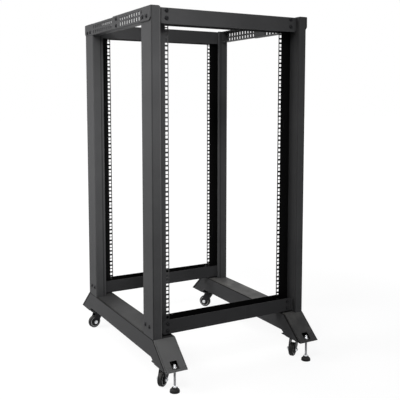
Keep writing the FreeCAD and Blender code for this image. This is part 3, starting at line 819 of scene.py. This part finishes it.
add_cylinder(24, FLANGE_RADIUS, FLANGE_HEIGHT, (0, 0, FLANGE_HEIGHT / 2))
bolt = start_piece("bolt_pattern")
pick(bolt, "FACE", facing(UP))
bpy.ops.mesh.inset(thickness=FLANGE_RIM)
for rise, share in HEAD_STEPS:
    raise_picked(rise, share)
end_piece(bolt)
add_cylinder(6, SOCKET_RADIUS, SOCKET_DEPTH, (0, 0, SOCKET_MIDDLE))
cut_away(bolt, bpy.context.object)
end_piece(bolt)
for slot in (black_screw, worn_screw):
    bolt.data.materials.append(slot)
for face in bolt.data.polygons:
    face.material_index = int(face.center.z > TIP_FROM)
print("bolt:", len(bolt.data.polygons), "faces, head", round(bolt.dimensions.x * 1000, 1), "mm across")

# %% [markdown]
# Four bolts hold each beam, two at each end. Those of the bottom beams get kicked and wiped, so
# the tips of their heads are bare.

# %% Bolts on the beams
SIGNS = {"left": -1, "right": 1, "front": -1, "rear": 1}
BEAM_BOLT_IN = 0.019
BEAM_BOLT_SPREAD = 0.0125
TOP_BOLT_RISE = 0.0045
bolts = []


def add_bolt(words, place, outward, tip=black_screw):
    """One black bolt on the frame. The tip of its head is still black, or rubbed by the tool."""
    bolts.append(copy_to(bolt, "_".join(("bolt", *words)), place, outward, "root", black_screw, tip))


for level, rise, tip in (("top", TOP_BOLT_RISE, black_screw), ("bottom", 0.0, worn_screw)):
    for end in ("front", "rear"):
        near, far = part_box("beam_" + level + "_" + end)
        face = near.y if end == "front" else far.y
        centre_z = (near.z + far.z) / 2 + rise
        for side in ("left", "right"):
            x = SIGNS[side] * (far.x - BEAM_BOLT_IN)
            for step, up in (("low", -BEAM_BOLT_SPREAD), ("high", BEAM_BOLT_SPREAD)):
                place = (x, face, centre_z + up)
                add_bolt(("beam", level, end, side, step), place, (0, SIGNS[end], 0), tip)
print("bolts on the beams:", len(bolts))

# %% [markdown]
# Two more bolts hold each end of a top rail and each post on its foot, and two join the halves
# of a rail where they overlap. Their places are measured from the outer edges of those pieces.

# %% Bolts on the rails and feet
RAIL_BOLTS_IN = (0.029, 0.060)
RAIL_BOLT_DROP = 0.0325
FOOT_BOLTS_IN = (0.032, 0.064)
FOOT_BOLT_RISE = 0.036
JOINT_BOLT_IN = 0.033
JOINT_BOLT_DROPS = (0.037, 0.013)


def add_pair(words, box, side, end, inward, z):
    """Two bolts side by side on the outer side of a box, measured from one end of it."""
    near, far = box
    skin = near.x if side == "left" else far.x
    tip = near.y if end == "front" else far.y
    for i, reach in enumerate(inward):
        add_bolt((*words, str(i)), (skin, tip - SIGNS[end] * reach, z), (SIGNS[side], 0, 0))


for side in ("left", "right"):
    for end in ("front", "rear"):
        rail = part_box("top_rail_" + side + "_" + end)
        add_pair(("rail", side, end), rail, side, end, RAIL_BOLTS_IN, rail[1].z - RAIL_BOLT_DROP)
        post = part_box("post_" + end + "_" + side)
        add_pair(("foot", side, end), post, side, end, FOOT_BOLTS_IN, post[0].z + FOOT_BOLT_RISE)
    near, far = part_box("top_rail_" + side + "_front")
    skin = near.x if side == "left" else far.x
    for i, drop in enumerate(JOINT_BOLT_DROPS):
        place = (skin, far.y - JOINT_BOLT_IN, far.z - drop)
        add_bolt(("joint", side, str(i)), place, (SIGNS[side], 0, 0))
retire(bolt)
print("bolts in all:", len(bolts))

# %% [markdown]
# ## Levelling feet
# A levelling foot is a zinc stud with a thread, two nuts that clamp it to the plate, and a
# rubber pad under a third nut. A true helix could be wound with the Screw modifier, but its ends
# stay open and are hard to close. At this size a stack of rings looks the same and stays a
# closed mesh: the shaft is cut into rings, and every second ring is drawn in to make a groove.
# Below the plate the thread is grey with use, and above it the zinc is still bright.


# %% Threaded studs
THREAD_PITCH = 0.00125
GROOVE_SHARE = 0.86


def threaded_stud(name, low_end, high_end, radius, sides=16):
    """A closed shaft along Z with a groove at every pitch."""
    x, y, z_low = low_end
    length = high_end - z_low
    centre = (x, y, z_low + length / 2)
    add_cylinder(sides, radius, length, centre)
    stud = start_piece(name)
    pick(stud, "EDGE", lambda edge: abs(edge.verts[0].co.z - edge.verts[1].co.z) > length / 2)
    rings = 2 * int(length / THREAD_PITCH) - 1
    bpy.ops.mesh.subdivide(number_cuts=rings)
    step = length / (rings + 1)
    pick(stud, "VERT", lambda vertex: round((vertex.co.z - z_low) / step) % 2 == 0)
    bpy.ops.transform.resize(value=(GROOVE_SHARE, GROOVE_SHARE, 1), center_override=centre)
    end_piece(stud, 25.0)
    return stud


for side in ("left", "right"):
    near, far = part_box("leveller_stud_" + side)
    centre = (near + far) / 2
    radius = (far.x - near.x) / 2
    stud = threaded_stud("threaded_stud_" + side, (centre.x, centre.y, near.z), far.z, radius)
    plate_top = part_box("toe_plate_front_" + side)[1].z
    for slot in (grey_steel, bright_zinc):
        stud.data.materials.append(slot)
    for face in stud.data.polygons:
        face.material_index = int(face.center.z > plate_top)
    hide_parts("leveller_stud_" + side)
    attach(stud, "root")
print("stud:", len(stud.data.polygons), "faces")

# %% [markdown]
# A nut is a six-sided prism whose corners are turned off. A lathe would cut a cone there. Here
# each end face is raised a little and drawn in, which leaves the same chamfer. The bore is a
# touch tighter than the stud, so that no gap shows around the thread.


# %% Nuts
NUT_WIDTH = 0.013
NUT_HEIGHT = 0.0065
BORE_SHARE = 0.97
CHAMFER_HEIGHT = 0.1
CHAMFER_SHARE = 0.88


def make_nut(name, width, thickness, bore):
    """A chamfered nut along Z, standing on the origin."""
    straight = thickness * (1 - 2 * CHAMFER_HEIGHT)
    add_cylinder(6, width / math.sqrt(3), straight, (0, 0, thickness / 2))
    nut = start_piece(name)
    for way in (1, -1):
        pick(nut, "FACE", facing((0, 0, way)))
        bpy.ops.mesh.subdivide(number_cuts=1)
        pick(nut, "FACE", facing((0, 0, way)))
        raise_picked(way * thickness * CHAMFER_HEIGHT, CHAMFER_SHARE)
    end_piece(nut, 20.0)
    add_cylinder(20, bore, thickness * 2, (0, 0, thickness / 2))
    cut_away(nut, bpy.context.object)
    end_piece(nut, 20.0)
    return nut


stud_near, stud_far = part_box("leveller_stud_left")
nut = make_nut("nut_pattern", NUT_WIDTH, NUT_HEIGHT, (stud_far.x - stud_near.x) / 2 * BORE_SHARE)
plate_near, plate_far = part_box("toe_plate_front_left")
pad_near, pad_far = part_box("leveller_pad_left")
nut_places = {"upper": plate_far.z, "lower": plate_near.z - NUT_HEIGHT, "pad": pad_far.z}
for side in ("left", "right"):
    near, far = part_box("leveller_stud_" + side)
    for name, z in nut_places.items():
        place = ((near.x + far.x) / 2, (near.y + far.y) / 2, z)
        piece = copy_to(nut, "nut_" + name + "_" + side, place, UP, "root", bright_zinc)
        if name == "upper":
            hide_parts("leveller_nuts_" + side)
retire(nut)
print("nuts on each levelling foot:", len(nut_places))

# %% [markdown]
# The pad is a round rubber foot with a stepped skirt. It grows from a disc: the top is drawn in
# and raised a few times, as a potter would do. The pattern is one unit in radius, and takes its
# true size from the solid that it replaces.

# %% Rubber pads
SKIRT = ((0.96, 0.35), (0.90, 0.12), (0.78, 0.10), (0.64, 0.16), (0.60, 0.17))
DISC_HEIGHT = 0.1
DISH_RIM = 0.08
DISH_DEPTH = 0.03

add_cylinder(40, 1.0, DISC_HEIGHT, (0, 0, DISC_HEIGHT / 2))
pad = start_piece("pad_pattern")
pick(pad, "FACE", facing(UP))
reach = 1.0
for radius, rise in SKIRT:
    raise_picked(rise, radius / reach)
    reach = radius
bpy.ops.mesh.inset(thickness=DISH_RIM)
raise_picked(-DISH_DEPTH)
end_piece(pad, 40.0)
pad_radius = (pad_far.x - pad_near.x) / 2
pad_height_share = (pad_far.z - pad_near.z) / max(v.co.z for v in pad.data.vertices)
pad.data.transform(Matrix.Diagonal((pad_radius, pad_radius, pad_height_share, 1)))
for side in ("left", "right"):
    near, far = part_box("leveller_pad_" + side)
    place = ((near.x + far.x) / 2, (near.y + far.y) / 2, near.z)
    piece = copy_to(pad, "rubber_pad_" + side, place, UP, "root", pad_rubber)
    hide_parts("leveller_pad_" + side)
retire(pad)
print("pads:", round(pad_radius * 2000), "mm across")

# %% [markdown]
# ## Casters
# The solids already give each caster its plate, fork, axle, wheel core and tyre. Up close a real
# one also has ribs in the wheel, a ring over the fork and a nut on the axle. Each wheel stands
# at its own heading, so these pieces are modelled about an axle along Z and then turned to the
# axle that the joint gives. The ribs could be placed one by one, but one rib that is spun about
# the axle gives them all at equal angles.

# %% Wheel ribs
RIB_SIZE = (0.0094, 0.0016, 0.0046)
RIB_PLACE = (0.0129, 0, 0.0064)
RIB_COUNT = 7
RIB_TOP_FROM = 0.008
RIB_BEVEL = 0.0004
WELD = 0.00001

bpy.ops.object.select_all(action="DESELECT")
bpy.ops.mesh.primitive_cube_add(size=1, location=(0, 0, 0))
rib = start_piece("rib_pattern")
bpy.ops.mesh.select_all(action="SELECT")
bpy.ops.transform.resize(value=RIB_SIZE)
bpy.ops.transform.translate(value=RIB_PLACE)
pick(rib, "EDGE", lambda edge: min(v.co.z for v in edge.verts) > RIB_TOP_FROM)
bpy.ops.mesh.bevel(offset=RIB_BEVEL, segments=2)
bpy.ops.mesh.select_all(action="SELECT")
bpy.ops.mesh.spin(steps=RIB_COUNT, angle=math.radians(360), center=(0, 0, 0), axis=UP, dupli=True)
bpy.ops.mesh.remove_doubles(threshold=WELD)
end_piece(rib)
print("ribs on one side:", len(rib.data.polygons), "faces")

# %% [markdown]
# The axle ends in a small nut with the end of the screw standing out of it.

# %% Axle nuts
AXLE_NUT_RADIUS = 0.0058
AXLE_NUT_HEIGHT = 0.0034
AXLE_NUT_CHAMFER = 0.0006
SCREW_END_RIM = 0.0022
SCREW_END_HEIGHT = 0.0012

add_cylinder(6, AXLE_NUT_RADIUS, AXLE_NUT_HEIGHT, (0, 0, AXLE_NUT_HEIGHT / 2))
axle_nut = start_piece("axle_nut_pattern")
pick(axle_nut, "FACE", facing(UP))
raise_picked(AXLE_NUT_CHAMFER, CHAMFER_SHARE)
bpy.ops.mesh.inset(thickness=SCREW_END_RIM)
raise_picked(SCREW_END_HEIGHT)
end_piece(axle_nut, 20.0)

joint_of = {joint["name"]: joint for joint in frame["joints"]}
for corner in CORNERS:
    spin = joint_of["spin_" + corner]
    hub = Vector(spin["pos_m"])
    axle = Vector(spin["axis"]).normalized()
    axle_node = frame["nodes"]["caster_axle_" + corner]
    reach = max((v.co - hub).dot(axle) for v in axle_node.data.vertices)
    for way in (1, -1):
        name = corner + ("_a" if way > 0 else "_b")
        copy_to(rib, "wheel_ribs_" + name, hub, axle * way, "wheel_" + corner, wheel_plastic)
        copy_to(axle_nut, "axle_nut_" + name, hub + axle * way * reach, axle * way,
                "swivel_" + corner, bright_zinc)
retire(rib)
retire(axle_nut)
print("casters dressed:", ", ".join(CORNERS))

# %% [markdown]
# A dust ring sits on top of each fork and turns with it. It is a flat ring with a rolled edge,
# made from a disc by insetting, and cut through so that the king pin can pass.

# %% Dust rings
RING_RADIUS = 0.0185
RING_HOLE = 0.0168
RING_HEIGHT = 0.0012
RING_RIM = 0.0012
RING_DISH = 0.0004

add_cylinder(36, RING_RADIUS, RING_HEIGHT, (0, 0, RING_HEIGHT / 2))
ring = start_piece("ring_pattern")
pick(ring, "FACE", facing(UP))
bpy.ops.mesh.inset(thickness=RING_RIM)
raise_picked(-RING_DISH)
end_piece(ring, 30.0)
add_cylinder(36, RING_HOLE, 8 * RING_HEIGHT)
cut_away(ring, bpy.context.object)
end_piece(ring, 30.0)
print("dust ring:", round(ring.dimensions.x * 1000), "mm across")

# %% [markdown]
# Four small bolts hold each caster's plate under the toe. Only their heads show from below, so
# a washer and a round head, raised from a disc, are enough.

# %% Plate bolts
WASHER_RADIUS = 0.0055
WASHER_HEIGHT = 0.0008
WASHER_RIM = 0.0016
HEAD_HEIGHT = 0.0024
TIP_RIM = 0.0008
TIP_HEIGHT = 0.0004
PLATE_SHEET = 0.003
BOLT_FROM_EDGE = 0.0075

add_cylinder(16, WASHER_RADIUS, WASHER_HEIGHT, (0, 0, WASHER_HEIGHT / 2))
small_bolt = start_piece("small_bolt_pattern")
pick(small_bolt, "FACE", facing(UP))
bpy.ops.mesh.inset(thickness=WASHER_RIM)
raise_picked(HEAD_HEIGHT)
bpy.ops.mesh.inset(thickness=TIP_RIM)
raise_picked(TIP_HEIGHT)
end_piece(small_bolt, 20.0)
for corner in CORNERS:
    near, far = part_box("caster_plate_" + corner)
    axis = Vector(joint_of["swivel_" + corner]["pos_m"])
    under = far.z - PLATE_SHEET
    reach = (far.x - near.x) / 2 - BOLT_FROM_EDGE
    for i, (a, b) in enumerate(((-1, -1), (1, -1), (1, 1), (-1, 1))):
        place = (axis.x + a * reach, axis.y + b * reach, under)
        copy_to(small_bolt, "plate_bolt_" + corner + "_" + str(i), place, DOWN, "root", black_screw)
    copy_to(ring, "dust_ring_" + corner, axis, DOWN, "swivel_" + corner, caster_coat)
retire(small_bolt)
retire(ring)
print("plate bolts:", 4 * len(CORNERS))
